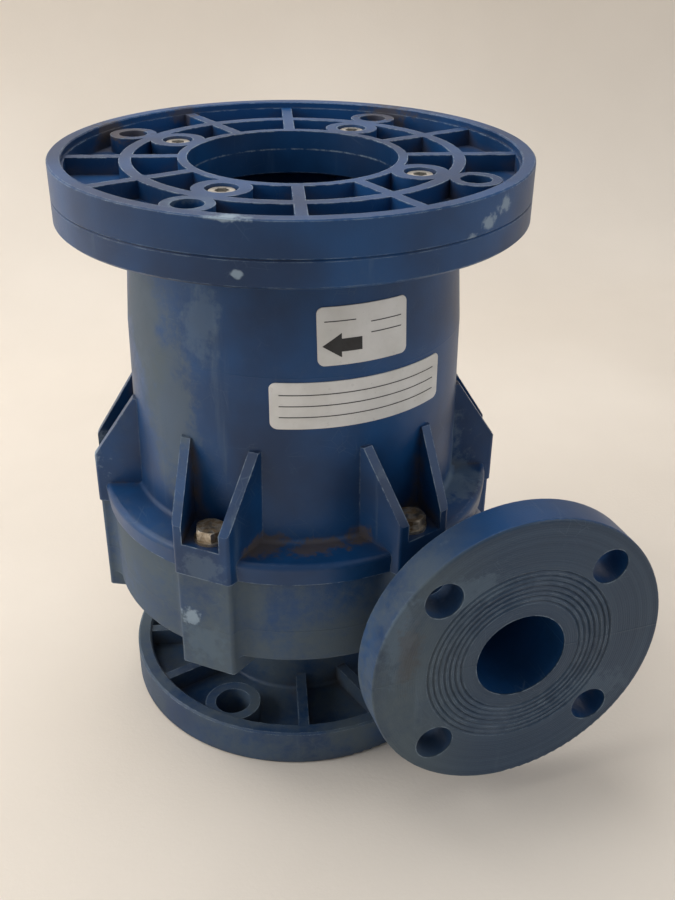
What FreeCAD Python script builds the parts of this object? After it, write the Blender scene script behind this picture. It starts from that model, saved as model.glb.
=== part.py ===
import FreeCAD
import Part
import math
import os

# Magnetically driven centrifugal pump, wet end with volute casing, standing on its suction flange.
# Millimetres, +Z up along the shaft towards the motor, origin at the centre of the suction face.
# The discharge leaves towards -Y, beside the axis on the +X side.

V = FreeCAD.Vector
AXIS_Z = V(0, 0, 1)

# Edges broken by this much or less are bevelled flat, larger ones are rounded
BEVEL_LIMIT = 1.1
# How far cutters run past a face, and how far joined forms reach into each other
OVERCUT = 1.0
JOIN = 2.0
EDGE = 0.6

# Motor flange plate, to a nominal 9 inch face with a 7.25 inch bolt circle and an 8.5 inch register
PLATE_R = 114.3
PLATE_TOP = 304.2
PLATE_BOTTOM = 287.9
REGISTER_R = 107.95
REGISTER_DEPTH = 3.2
REGISTER_EDGE = 0.5
REGISTER_LEDGE = 0.95
PLATE_BORE_R = 50.3
PLATE_INNER_RING_R = 54.8
MID_RING_OUTER_R = 82.0
MID_RING_INNER_R = 76.2
PLATE_POCKET_DEPTH = 8.0
MOTOR_BOLT_CIRCLE_R = 92.075
MOTOR_HOLE_R = 7.15
MOTOR_BOSS_R = 11.7
SCREW_CIRCLE_R = 65.2
SCREW_BOSS_R = 13.4
RIB_WIDTH = 5.5
RIB_ANGLES = (15, 75, 105, 165, 195, 255, 285, 345)
HOLE_ANGLES = (45, 135, 225, 315)

# Motor adapter
ADAPTER_DISC_BOTTOM = 275.7
ADAPTER_FLANGE_BOTTOM = 279.0
SPIGOT_HEIGHT = 3.8
SPIGOT_WALL = 2.6
SPIGOT_GAP = 0.1
BELL_TOP_R = 80.6
BELL_KINK_Z = 223.0
BELL_KINK_R = 84.3
BELL_FOOT_R = 85.6
BELL_FOOT_Z = 136.3
BELL_FOOT_FILLET = 2.5
BELL_CROWN_FILLET = 4.0
BELL_INNER_FILLET = 5.0
BELL_WALL = 6.5
LEDGE_R = 104.0
LEDGE_TOP = 134.8
LEDGE_DRAFT = 1.2
LEDGE_ROUND = 3.0
SEAM_Z = 123.5

# Lugs that bolt the adapter to the volute casing
LUG_COUNT = 6
LUG_FIRST_ANGLE = -132
LUG_FACE = 107.0
LUG_HALF_WIDTH = 15.0
LUG_SPLAY_DEG = 13.5
LUG_EDGE_RADIUS = 2.2
LUG_SEAT_Z = 141.0
LUG_BOTTOM_Z = 68.3
LOWER_LUG_SETBACK = 1.0
LUG_ROOT = 84.0
LUG_ROOT_FILLET = 7.0
LUG_DRAFT = 0.4
FIN_THICKNESS = 5.0
FIN_SHOULDER_Z = 150.5
FIN_TOP_Z = 185.5
FIN_SHOULDER_BREAK = 1.0
HOUSING_BOLT_CIRCLE_R = 96.5

# Volute casing
VOLUTE_R = 100.5
VOLUTE_BOTTOM = 75.0
VOLUTE_EDGE_RADIUS = 2.0
CHAMBER_FLOOR = 84.0
SPIRAL_START_R = 65.0
SPIRAL_END_R = 81.0
TONGUE_ANGLE = -40.0
GATE_Y = -20.0
NECK_R = 46.0
NECK_FILLET = 5.0
SUCTION_BORE_R = 38.1
SUCTION_BORE_DEPTH = 48.0
INLET_R = 36.5
EYE_BORE_R = 42.0
EYE_BORE_DEPTH = 7.5

# Suction flange, nominal 3 inch class 150
SUCTION_R = 95.25
SUCTION_THICKNESS = 21.0
SUCTION_BOLT_CIRCLE_R = 76.2
SUCTION_RIM_WALL = 7.75
SUCTION_BOSS_R = 15.0

# Discharge flange, nominal 2 inch class 150
DISCHARGE_R = 76.2
DISCHARGE_THICKNESS = 19.5
DISCHARGE_BOLT_CIRCLE_R = 60.325
DISCHARGE_RIM_WALL = 6.5
DISCHARGE_BOSS_R = 13.5
DISCHARGE_BORE_R = 23.4
DISCHARGE_BORE_DEPTH = 19.5
NOZZLE_R = 30.0
DISCHARGE_X = 67.0
DISCHARGE_Z = 93.0
DISCHARGE_REACH = 146.0
THROAT_X = 69.0
THROAT_Y = -6.0
THROAT_R = 14.0

# Shared by both pipe flanges; the grooves hold the gasket on the discharge face
FLANGE_WEB = 9.0
FLANGE_HOLE_R = 9.525
WEB_FILLET = 2.0
RIM_DRAFT = 0.6
RIM_EDGE = 1.0
RIB_DROP = 1.5
FACE_EDGE = 1.5
GROOVE_COUNT = 7
GROOVE_OUTER_R = 49.2
GROOVE_PITCH = 2.8
GROOVE_WIDTH = 1.7
GROOVE_DEPTH = 0.8

# Barrier, seal and shaft
BARRIER_SEAT = 5.5
BARRIER_R = 88.8
BARRIER_RECESS_GAP = 0.3
CAN_INNER_R = 35.0
CAN_WALL = 2.5
CAN_END_Z = 212.0
CAN_END_THICKNESS = 6.0
CAN_DRAFT = 0.4
CAN_FOOT_FILLET = 3.0
CAN_END_FILLET = 4.0
CAN_INNER_FILLET = 2.5
BARRIER_RIBS = 8
BARRIER_RIB_WIDTH = 4.0
BARRIER_RIB_GAP = 3.0
BARRIER_RIB_HEIGHT = 9.0
SEAL_R = 85.4
SEAL_SECTION_R = 1.8
SEAL_GAP = 0.2
SHAFT_R = 9.0
SHAFT_FIT = 0.05
SHAFT_BOTTOM = 58.0
SHAFT_END_GAP = 0.2
SOCKET_DEPTH = 12.0
SPIDER_TOP = 74.0
SPIDER_BOTTOM = 50.0
SPIDER_VANES = 3
SPIDER_VANE_WIDTH = 6.0
SPIDER_VANE_BOTTOM = 52.0
SPIDER_VANE_TOP = 70.0

# Rotor
IMPELLER_R = 60.0
BACK_SHROUD_TOP = 116.0
SHROUD_THICKNESS = 4.0
VANE_COUNT = 6
VANE_WIDTH = 3.6
VANE_SWEEP_DEG = 70.0
VANE_ROOT_R = 25.0
VANE_ROOT_TAPER = 0.7
VANE_SLANT = 1.6
OUTLET_BOTTOM = 97.0
SHROUD_WALL = 3.5
EYE_INNER_R = 35.5
EYE_TOP = 88.0
EYE_ROUND = 6.0
EYE_RING_R = 41.2
EYE_RING_BOTTOM = 78.5
HUB_R = 20.0
HUB_BOTTOM = 84.5
HUB_ROUND = 8.0
HUB_TAPER = 2.0
HUB_BORE_GAP = 1.5
HUB_BORE_R = SHAFT_R + HUB_BORE_GAP
NOSE_BOTTOM = 100.0
DRIVE_GAP = 0.8
DRIVE_TOP = 190.0
DRIVE_EDGE = 1.5
BUSHING_WALL = 5.0
BUSHING_R = SHAFT_R + BUSHING_WALL
NOSE_WALL = 2.5
NOSE_R = BUSHING_R + NOSE_WALL
BUSHING_INSET = 2.0
RUNNING_CLEARANCE = 0.05
YOKE_INNER_R = NOSE_R
YOKE_OUTER_R = 22.0
MAGNET_COVER = 3.7
MAGNET_OUTER_R = CAN_INNER_R - DRIVE_GAP - MAGNET_COVER
MAGNET_BOTTOM = 130.0
MAGNET_TOP = 182.0
MAGNET_COUNT = 10
MAGNET_GAP_DEG = 3.0
THRUST_WALL = 6.0
THRUST_R = SHAFT_R + THRUST_WALL
THRUST_THICKNESS = 5.0
THRUST_GAP = 0.5
THRUST_BORE_GAP = 1.0
THRUST_SEAT_DEPTH = 1.5

# Fasteners
BOLT_R = 4.0
BOLT_HOLE_GAP = 0.5
BOLT_HOLE_R = BOLT_R + BOLT_HOLE_GAP
THREAD_FIT = 0.05
BOLT_LENGTH = 40.0
HEX_ACROSS = 13.0
HEX_HEIGHT = 5.3
HEX_CROWN = 0.6
BOLT_TURN_FIRST = 17
BOLT_TURN_STEP = 23
WASHER_R = 8.0
WASHER_GAP = 0.2
WASHER_THICKNESS = 1.6
THREAD_WALL = 1.5
INSERT_R = BOLT_R + THREAD_WALL
INSERT_LENGTH = 20.0
FLANGE_INSERT_LENGTH = 16.0
INSERT_WALL = 3.5
SOCKET_HEAD_R = 6.5
SOCKET_HEAD_HEIGHT = 8.0
SOCKET_HEAD_EDGE = 0.7
SOCKET_ACROSS = 6.0
SOCKET_DEPTH_IN_HEAD = 4.0
SOCKET_LENGTH = 20.0
COUNTERBORE_GAP = 1.0
COUNTERBORE_R = SOCKET_HEAD_R + COUNTERBORE_GAP
HEAD_RECESS = 1.0

# Stickers on the bell: middle angle, width along the arc in degrees, bottom, top
LABEL_THICKNESS = 0.5
LABEL_CORNER = 3.0
ARROW_LABEL = (-85.0, 30.0, 228.6, 255.6)
RATING_LABEL = (-84.3, 61.5, 198.0, 221.0)


def polar(radius, degrees, z=0.0):
    angle = math.radians(degrees)
    return V(radius * math.cos(angle), radius * math.sin(angle), z)


def turned(shape, degrees):
    copy = shape.copy()
    copy.rotate(V(0, 0, 0), AXIS_Z, degrees)
    return copy


def cylinder(radius, bottom, top, centre=V(0, 0, 0)):
    return Part.makeCylinder(radius, top - bottom, V(centre.x, centre.y, bottom))


def ring(outer, inner, bottom, top):
    return cylinder(outer, bottom, top).cut(cylinder(inner, bottom - OVERCUT, top + OVERCUT))


def fused(shapes):
    whole = shapes[0]
    if len(shapes) > 1:
        whole = whole.multiFuse(shapes[1:])
    return whole.removeSplitter()


def rounded_wire(corners):
    """Closed wire through corners (point, radius), each corner rounded or, if small, bevelled by its radius."""
    edges = []
    starts = []
    ends = []
    count = len(corners)
    for index, (point, radius) in enumerate(corners):
        before = (corners[index - 1][0] - point).normalize()
        after = (corners[(index + 1) % count][0] - point).normalize()
        half = before.getAngle(after) / 2
        reach = radius / math.tan(half)
        starts.append(point + before * reach)
        ends.append(point + after * reach)
        if radius > BEVEL_LIMIT:
            middle = (before + after).normalize()
            tip = point + middle * (radius / math.sin(half) - radius)
            edges.append(Part.Arc(starts[-1], tip, ends[-1]).toShape())
        elif radius > 0:
            edges.append(Part.makeLine(starts[-1], ends[-1]))
    for index in range(count):
        first = ends[index]
        second = starts[(index + 1) % count]
        if first.distanceToPoint(second) > 1e-6:
            edges.append(Part.makeLine(first, second))
    return Part.Wire(Part.sortEdges(edges)[0])


def revolved(profile):
    """Solid of revolution about Z from (radius, z) or (radius, z, rounding) corners."""
    corners = [(V(item[0], 0, item[1]), item[2] if len(item) > 2 else 0.0) for item in profile]
    return Part.Face(rounded_wire(corners)).revolve(V(0, 0, 0), AXIS_Z, 360)


def prism(outline, bottom, top):
    """Upright prism from (x, y) or (x, y, rounding) corners."""
    corners = [(V(item[0], item[1], bottom), item[2] if len(item) > 2 else 0.0) for item in outline]
    return Part.Face(rounded_wire(corners)).extrude(V(0, 0, top - bottom))


def radial_bar(width, inner, outer, bottom, top):
    return Part.makeBox(outer - inner, width, top - bottom, V(inner, -width / 2, bottom))


def around(shape, angles):
    return [turned(shape, degrees) for degrees in angles]


def lug_angles():
    return [LUG_FIRST_ANGLE + index * 360 / LUG_COUNT for index in range(LUG_COUNT)]


def export(name, solids):
    shape = solids[0] if len(solids) == 1 else Part.makeCompound(solids)
    shape.exportStep("parts/" + name + ".step")
    print(name, len(shape.Solids), "valid" if shape.isValid() else "NOT VALID", round(shape.Volume))


def motor_flange_plate():
    face = PLATE_TOP - REGISTER_DEPTH
    floor = face - PLATE_POCKET_DEPTH
    pocket_r = REGISTER_R - REGISTER_LEDGE
    pieces = [
        cylinder(PLATE_R - JOIN, PLATE_BOTTOM, floor),
        revolved([(pocket_r, PLATE_BOTTOM), (PLATE_R, PLATE_BOTTOM, EDGE), (PLATE_R, PLATE_TOP, EDGE),
                  (REGISTER_R, PLATE_TOP, REGISTER_EDGE), (REGISTER_R, face), (pocket_r, face)]),
        ring(MID_RING_OUTER_R, MID_RING_INNER_R, PLATE_BOTTOM, face),
        ring(PLATE_INNER_RING_R, PLATE_BORE_R, PLATE_BOTTOM, face),
    ]
    rib = radial_bar(RIB_WIDTH, PLATE_INNER_RING_R - JOIN, pocket_r + JOIN, floor - JOIN, face)
    pieces += around(rib, RIB_ANGLES)
    for angle in HOLE_ANGLES:
        pieces.append(cylinder(MOTOR_BOSS_R, PLATE_BOTTOM, face, polar(MOTOR_BOLT_CIRCLE_R, angle)))
        pieces.append(cylinder(SCREW_BOSS_R, PLATE_BOTTOM, face, polar(SCREW_CIRCLE_R, angle)))
    plate = fused(pieces)
    below = PLATE_BOTTOM - OVERCUT
    cuts = [cylinder(PLATE_BORE_R, below, PLATE_TOP + OVERCUT),
            cylinder(PLATE_BORE_R + SPIGOT_WALL + SPIGOT_GAP, below, PLATE_BOTTOM + SPIGOT_HEIGHT)]
    seat = face - HEAD_RECESS - SOCKET_HEAD_HEIGHT
    for angle in HOLE_ANGLES:
        cuts.append(cylinder(MOTOR_HOLE_R, below, PLATE_TOP, polar(MOTOR_BOLT_CIRCLE_R, angle)))
        screw = polar(SCREW_CIRCLE_R, angle)
        cuts.append(cylinder(BOLT_HOLE_R, below, PLATE_TOP, screw))
        cuts.append(cylinder(COUNTERBORE_R, seat, PLATE_TOP, screw))
    return plate.cut(cuts)


def socket_screw():
    top = PLATE_TOP - REGISTER_DEPTH - HEAD_RECESS
    seat = top - SOCKET_HEAD_HEIGHT
    head = revolved([(0, seat), (SOCKET_HEAD_R, seat), (SOCKET_HEAD_R, top, SOCKET_HEAD_EDGE), (0, top)])
    shank = cylinder(BOLT_R, seat - SOCKET_LENGTH, seat + JOIN)
    socket = hexagon(SOCKET_ACROSS, top - SOCKET_DEPTH_IN_HEAD, top + OVERCUT)
    return head.fuse(shank).cut(socket).removeSplitter()


def hexagon(across, bottom, top):
    corner = across / math.sqrt(3)
    points = [polar(corner, 60 * index, bottom) for index in range(6)]
    return Part.Face(Part.makePolygon(points + points[:1])).extrude(V(0, 0, top - bottom))


def flange_screws():
    screw = socket_screw()
    screw.translate(V(SCREW_CIRCLE_R, 0, 0))
    return around(screw, HOLE_ANGLES)


def flange_inserts():
    insert = ring(INSERT_R, BOLT_R + THREAD_FIT, PLATE_BOTTOM - FLANGE_INSERT_LENGTH, PLATE_BOTTOM)
    insert.translate(V(SCREW_CIRCLE_R, 0, 0))
    return around(insert, HOLE_ANGLES)


def lug_outline(face, half_width, root, inset=0.0, rounding=LUG_EDGE_RADIUS):
    splay = math.tan(math.radians(LUG_SPLAY_DEG))
    near = half_width - inset
    far = near + (face - root) * splay
    return [(root, -far), (face, -near, rounding), (face, near, rounding), (root, far)]


def upper_lug():
    """Solid lug with a gusset fin on each side; it reaches inside the bell wall, which is bored later."""
    root = BELL_KINK_R - BELL_WALL
    block = prism(lug_outline(LUG_FACE, LUG_HALF_WIDTH, root), SEAM_Z, FIN_TOP_Z)
    past = LUG_FACE + OVERCUT
    side = [(root, SEAM_Z), (past, SEAM_Z), (past, FIN_SHOULDER_Z - FIN_SHOULDER_BREAK),
            (LUG_FACE, FIN_SHOULDER_Z), (BELL_KINK_R, FIN_TOP_Z), (root, FIN_TOP_Z)]
    slab = Part.Face(rounded_wire([(V(x, 0, z), 0) for x, z in side])).extrude(V(0, 4 * LUG_HALF_WIDTH, 0))
    slab.translate(V(0, -2 * LUG_HALF_WIDTH, 0))
    splay = math.tan(math.radians(LUG_SPLAY_DEG))
    inset = FIN_THICKNESS / math.cos(math.radians(LUG_SPLAY_DEG))
    reach = 5 * OVERCUT
    gap = prism(lug_outline(LUG_FACE + reach, LUG_HALF_WIDTH - reach * splay, root, inset, 0),
                LUG_SEAT_Z, FIN_TOP_Z + OVERCUT)
    return block.common(slab).cut(gap)


def bell_outer_profile(grow=0.0):
    return [(BELL_FOOT_R + grow, BELL_FOOT_Z), (BELL_KINK_R + grow, BELL_KINK_Z),
            (BELL_TOP_R + grow, ADAPTER_DISC_BOTTOM)]


def motor_adapter():
    foot, kink, top = bell_outer_profile()
    body = revolved([
        (0, SEAM_Z), (LEDGE_R - LEDGE_DRAFT, SEAM_Z), (LEDGE_R, LEDGE_TOP, LEDGE_ROUND),
        (foot[0], foot[1], BELL_FOOT_FILLET), kink, (top[0], top[1], BELL_CROWN_FILLET),
        (PLATE_R, ADAPTER_DISC_BOTTOM, RIM_EDGE), (PLATE_R, PLATE_BOTTOM, EDGE), (0, PLATE_BOTTOM)])
    spigot = ring(PLATE_BORE_R + SPIGOT_WALL, PLATE_BORE_R, PLATE_BOTTOM - JOIN, PLATE_BOTTOM + SPIGOT_HEIGHT)
    solid = fused([body, spigot] + around(upper_lug(), lug_angles()))
    cavity = revolved([
        (0, SEAM_Z - OVERCUT), (foot[0] - BELL_WALL, SEAM_Z - OVERCUT), (kink[0] - BELL_WALL, kink[1]),
        (top[0] - BELL_WALL, ADAPTER_FLANGE_BOTTOM, BELL_INNER_FILLET), (PLATE_BORE_R, ADAPTER_FLANGE_BOTTOM, EDGE),
        (PLATE_BORE_R, PLATE_TOP), (0, PLATE_TOP)])
    solid = solid.cut(cavity)
    pocket_bottom = PLATE_BOTTOM - FLANGE_INSERT_LENGTH
    bosses = []
    cuts = []
    for angle in HOLE_ANGLES:
        centre = polar(SCREW_CIRCLE_R, angle)
        bosses.append(cylinder(INSERT_R + INSERT_WALL, pocket_bottom - INSERT_WALL, PLATE_BOTTOM - JOIN, centre))
        cuts.append(cylinder(INSERT_R, pocket_bottom, PLATE_BOTTOM + OVERCUT, centre))
        cuts.append(cylinder(MOTOR_HOLE_R, ADAPTER_DISC_BOTTOM - OVERCUT, PLATE_BOTTOM + OVERCUT,
                             polar(MOTOR_BOLT_CIRCLE_R, angle)))
    for angle in lug_angles():
        cuts.append(cylinder(BOLT_HOLE_R, SEAM_Z - OVERCUT, LUG_SEAT_Z + OVERCUT,
                             polar(HOUSING_BOLT_CIRCLE_R, angle)))
    return fused([solid] + bosses).cut(cuts)


def hex_bolt():
    seat = LUG_SEAT_Z + WASHER_THICKNESS
    top = seat + HEX_HEIGHT
    corner_r = HEX_ACROSS / math.sqrt(3)
    head = hexagon(HEX_ACROSS, seat, top)
    crown = revolved([(0, seat), (corner_r, seat), (corner_r, top - HEX_CROWN), (HEX_ACROSS / 2, top), (0, top)])
    shank = cylinder(BOLT_R, seat - BOLT_LENGTH, seat + JOIN)
    return head.common(crown).fuse(shank).removeSplitter()


def housing_bolts():
    bolts = []
    for index, angle in enumerate(lug_angles()):
        bolt = turned(hex_bolt(), BOLT_TURN_FIRST + BOLT_TURN_STEP * index)
        bolt.translate(polar(HOUSING_BOLT_CIRCLE_R, angle))
        bolts.append(bolt)
    return bolts


def housing_washers():
    washer = ring(WASHER_R, BOLT_R + WASHER_GAP, LUG_SEAT_Z, LUG_SEAT_Z + WASHER_THICKNESS)
    washer.translate(V(HOUSING_BOLT_CIRCLE_R, 0, 0))
    return around(washer, lug_angles())


def housing_inserts():
    insert = ring(INSERT_R, BOLT_R + THREAD_FIT, SEAM_Z - INSERT_LENGTH, SEAM_Z)
    insert.translate(V(HOUSING_BOLT_CIRCLE_R, 0, 0))
    return around(insert, lug_angles())


def ribbed_flange(radius, thickness, rim_wall, neck_r, circle_r, boss_r):
    """Flange with its gasket face down at z = 0: rim, web, hub, bolt bosses and ribs, still unbored."""
    rib_top = thickness - RIB_DROP
    pieces = [
        revolved([(0, 0), (radius, 0, FACE_EDGE), (radius, thickness, RIM_EDGE),
                  (radius - rim_wall, thickness, RIM_EDGE), (radius - rim_wall - RIM_DRAFT, FLANGE_WEB, WEB_FILLET),
                  (neck_r, FLANGE_WEB, WEB_FILLET), (neck_r, thickness), (0, thickness)]),
    ]
    rib = radial_bar(RIB_WIDTH, neck_r - JOIN, radius - rim_wall + JOIN, FLANGE_WEB - JOIN, rib_top)
    pieces += around(rib, RIB_ANGLES)
    for angle in HOLE_ANGLES:
        pieces.append(cylinder(boss_r, FLANGE_WEB - JOIN, rib_top, polar(circle_r, angle)))
    return fused(pieces)


def bolt_holes(circle_r, thickness):
    return [cylinder(FLANGE_HOLE_R, -OVERCUT, thickness + OVERCUT, polar(circle_r, angle))
            for angle in HOLE_ANGLES]


def gasket_grooves():
    """V grooves turned in the discharge face, from the outermost inwards."""
    grooves = []
    for index in range(GROOVE_COUNT):
        outer = GROOVE_OUTER_R - index * GROOVE_PITCH
        grooves.append(revolved([(outer, 0), (outer - GROOVE_WIDTH, 0), (outer - GROOVE_WIDTH / 2, GROOVE_DEPTH)]))
    return grooves


def to_discharge(shape):
    """Move a shape from the upright flange frame to the discharge: its z axis points into the casing."""
    placed = shape.copy()
    placed.rotate(V(0, 0, 0), V(1, 0, 0), -90)
    placed.translate(V(DISCHARGE_X, -DISCHARGE_REACH, DISCHARGE_Z))
    return placed


def spiral_chamber():
    """Volute passage: its wall winds outwards from the tongue with the clockwise flow."""
    sweep = 360 + TONGUE_ANGLE
    steps = 16
    points = []
    for step in range(steps + 1):
        share = step / steps
        radius = SPIRAL_START_R + (SPIRAL_END_R - SPIRAL_START_R) * share
        points.append(polar(radius, TONGUE_ANGLE - sweep * share, CHAMBER_FLOOR))
    curve = Part.BSplineCurve()
    curve.interpolate(points)
    gate = V(SPIRAL_END_R, GATE_Y, CHAMBER_FLOOR)
    outline = [curve.toShape(), Part.makeLine(points[-1], gate), Part.makeLine(gate, points[0])]
    face = Part.Face(Part.Wire(Part.sortEdges(outline)[0]))
    return face.extrude(V(0, 0, SEAM_Z - BARRIER_SEAT - CHAMBER_FLOOR))


def diffuser():
    """Passage that widens from the throat to the discharge bore, and the bore itself."""
    outwards = V(0, -1, 0)
    bore_start = V(DISCHARGE_X, DISCHARGE_BORE_DEPTH - DISCHARGE_REACH, DISCHARGE_Z)
    back = Part.Wire(Part.makeCircle(THROAT_R, V(THROAT_X, THROAT_Y, DISCHARGE_Z), outwards))
    front = Part.Wire(Part.makeCircle(DISCHARGE_BORE_R, bore_start, outwards))
    bore = Part.makeCylinder(DISCHARGE_BORE_R, DISCHARGE_BORE_DEPTH + OVERCUT, bore_start, outwards)
    return [Part.makeLoft([back, front], True, True), bore]


def root_fillet(side):
    """Web that blends one side of a lower lug into the round casing; side is 1 or -1."""
    slope = math.radians(LUG_SPLAY_DEG)
    start = V(LUG_FACE - LOWER_LUG_SETBACK, LUG_HALF_WIDTH - LUG_DRAFT, 0)
    along = V(-math.cos(slope), math.sin(slope), 0)
    offset = start + V(math.sin(slope), math.cos(slope), 0) * LUG_ROOT_FILLET
    reach = VOLUTE_R + LUG_ROOT_FILLET
    inwards = -offset.dot(along)
    centre = offset + along * (inwards - math.sqrt(inwards ** 2 - offset.dot(offset) + reach ** 2))
    on_lug = centre - V(math.sin(slope), math.cos(slope), 0) * LUG_ROOT_FILLET
    on_casing = centre * (VOLUTE_R / reach)
    corners = [on_lug, centre, on_casing, on_casing * (LUG_ROOT / VOLUTE_R), V(LUG_ROOT, LUG_HALF_WIDTH / 2, 0)]
    web = prism([(corner.x, side * corner.y) for corner in corners], VOLUTE_BOTTOM + VOLUTE_EDGE_RADIUS, SEAM_Z)
    return web.cut(cylinder(LUG_ROOT_FILLET, 0, SEAM_Z + OVERCUT, V(centre.x, side * centre.y, 0)))


def lower_lug():
    lug = prism(lug_outline(LUG_FACE - LOWER_LUG_SETBACK, LUG_HALF_WIDTH - LUG_DRAFT, LUG_ROOT),
                LUG_BOTTOM_Z, SEAM_Z)
    return fused([lug, root_fillet(1), root_fillet(-1)])


def shaft_spider():
    hub = cylinder(THRUST_R, SPIDER_BOTTOM, SPIDER_TOP)
    bar = radial_bar(SPIDER_VANE_WIDTH, THRUST_R - JOIN, INLET_R + JOIN, SPIDER_VANE_BOTTOM, SPIDER_VANE_TOP)
    bars = around(bar, [90 + index * 360 / SPIDER_VANES for index in range(SPIDER_VANES)])
    socket = cylinder(SHAFT_R + SHAFT_FIT, SHAFT_BOTTOM, SPIDER_TOP + OVERCUT)
    return fused([hub] + bars).cut(socket)


def volute_casing():
    shell = revolved([
        (0, JOIN), (NECK_R, JOIN), (NECK_R, VOLUTE_BOTTOM, NECK_FILLET),
        (VOLUTE_R, VOLUTE_BOTTOM, VOLUTE_EDGE_RADIUS),
        (VOLUTE_R, SEAM_Z), (0, SEAM_Z)])
    suction = ribbed_flange(SUCTION_R, SUCTION_THICKNESS, SUCTION_RIM_WALL, NECK_R, SUCTION_BOLT_CIRCLE_R,
                            SUCTION_BOSS_R)
    discharge = to_discharge(ribbed_flange(DISCHARGE_R, DISCHARGE_THICKNESS, DISCHARGE_RIM_WALL, NOZZLE_R,
                                           DISCHARGE_BOLT_CIRCLE_R, DISCHARGE_BOSS_R))
    nozzle = Part.makeCylinder(NOZZLE_R, DISCHARGE_REACH - FLANGE_WEB, V(DISCHARGE_X, 0, DISCHARGE_Z), V(0, -1, 0))
    body = fused([shell, suction, discharge, nozzle] + around(lower_lug(), lug_angles()))

    seat = SEAM_Z - BARRIER_SEAT
    cuts = diffuser() + [
        spiral_chamber(),
        cylinder(SUCTION_BORE_R, -OVERCUT, SUCTION_BORE_DEPTH),
        cylinder(INLET_R, -OVERCUT, CHAMBER_FLOOR + OVERCUT),
        cylinder(EYE_BORE_R, CHAMBER_FLOOR - EYE_BORE_DEPTH, CHAMBER_FLOOR + OVERCUT),
        cylinder(BARRIER_R + BARRIER_RECESS_GAP, seat, SEAM_Z + OVERCUT),
        ring(SEAL_R + SEAL_SECTION_R + SEAL_GAP, SEAL_R - SEAL_SECTION_R - SEAL_GAP,
             seat - 2 * SEAL_SECTION_R, seat + OVERCUT),
    ]
    for angle in lug_angles():
        cuts.append(cylinder(INSERT_R, SEAM_Z - INSERT_LENGTH, SEAM_Z + OVERCUT,
                             polar(HOUSING_BOLT_CIRCLE_R, angle)))
        cuts.append(cylinder(BOLT_HOLE_R, LUG_SEAT_Z + WASHER_THICKNESS - BOLT_LENGTH - OVERCUT, SEAM_Z,
                             polar(HOUSING_BOLT_CIRCLE_R, angle)))
    cuts += bolt_holes(SUCTION_BOLT_CIRCLE_R, SUCTION_THICKNESS)
    cuts += [to_discharge(cut) for cut in
             bolt_holes(DISCHARGE_BOLT_CIRCLE_R, DISCHARGE_THICKNESS) + gasket_grooves()]
    return fused([body.cut(cuts), shaft_spider()])


def barrier():
    seat = SEAM_Z - BARRIER_SEAT
    outer = CAN_INNER_R + CAN_WALL
    inner_end = CAN_END_Z - CAN_END_THICKNESS
    body = revolved([
        (CAN_INNER_R, seat, EDGE), (BARRIER_R, seat), (BARRIER_R, SEAM_Z),
        (outer + CAN_DRAFT, SEAM_Z, CAN_FOOT_FILLET), (outer, CAN_END_Z, CAN_END_FILLET), (0, CAN_END_Z),
        (0, inner_end), (CAN_INNER_R, inner_end, CAN_INNER_FILLET)])
    socket = ring(THRUST_R, SHAFT_R + SHAFT_FIT, inner_end - SOCKET_DEPTH, inner_end + JOIN)
    rib_outer = BELL_FOOT_R - BELL_WALL - BARRIER_RIB_GAP
    rib = radial_bar(BARRIER_RIB_WIDTH, outer - JOIN / 2, rib_outer, SEAM_Z - JOIN, SEAM_Z + BARRIER_RIB_HEIGHT)
    ribs = around(rib, [index * 360 / BARRIER_RIBS for index in range(BARRIER_RIBS)])
    return fused([body, socket] + ribs)


def barrier_oring():
    seat = SEAM_Z - BARRIER_SEAT
    return Part.makeTorus(SEAL_R, SEAL_SECTION_R, V(0, 0, seat - SEAL_SECTION_R))


def shroud_profile():
    """Passage side of the front shroud, from the eye to the rim."""
    return [(EYE_INNER_R, EYE_RING_BOTTOM), (EYE_INNER_R, EYE_TOP, EYE_ROUND), (IMPELLER_R, OUTLET_BOTTOM)]


def impeller_shroud():
    eye, bend, rim = shroud_profile()
    return revolved([eye, bend, rim, (IMPELLER_R, OUTLET_BOTTOM - SHROUD_WALL),
                     (EYE_RING_R, EYE_TOP - OVERCUT, WEB_FILLET), (EYE_RING_R, EYE_RING_BOTTOM)])


def vane(bottom, top):
    """One backward-curved vane, trailing the clockwise turning."""
    steps = 8
    half = VANE_WIDTH / 2

    def side(sign):
        points = []
        for step in range(steps + 1):
            share = step / steps
            radius = VANE_ROOT_R + (IMPELLER_R - VANE_ROOT_R) * share
            taper = half * (VANE_ROOT_TAPER + (1 - VANE_ROOT_TAPER) * share)
            turn = VANE_SWEEP_DEG * share + sign * math.degrees(taper / radius) * VANE_SLANT
            points.append(polar(radius, turn, bottom))
        curve = Part.BSplineCurve()
        curve.interpolate(points)
        return curve.toShape(), points

    left, left_points = side(1)
    right, right_points = side(-1)
    edges = [left, right, Part.makeLine(left_points[0], right_points[0]),
             Part.makeLine(left_points[-1], right_points[-1])]
    return Part.Face(Part.Wire(Part.sortEdges(edges)[0])).extrude(V(0, 0, top - bottom))


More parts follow.
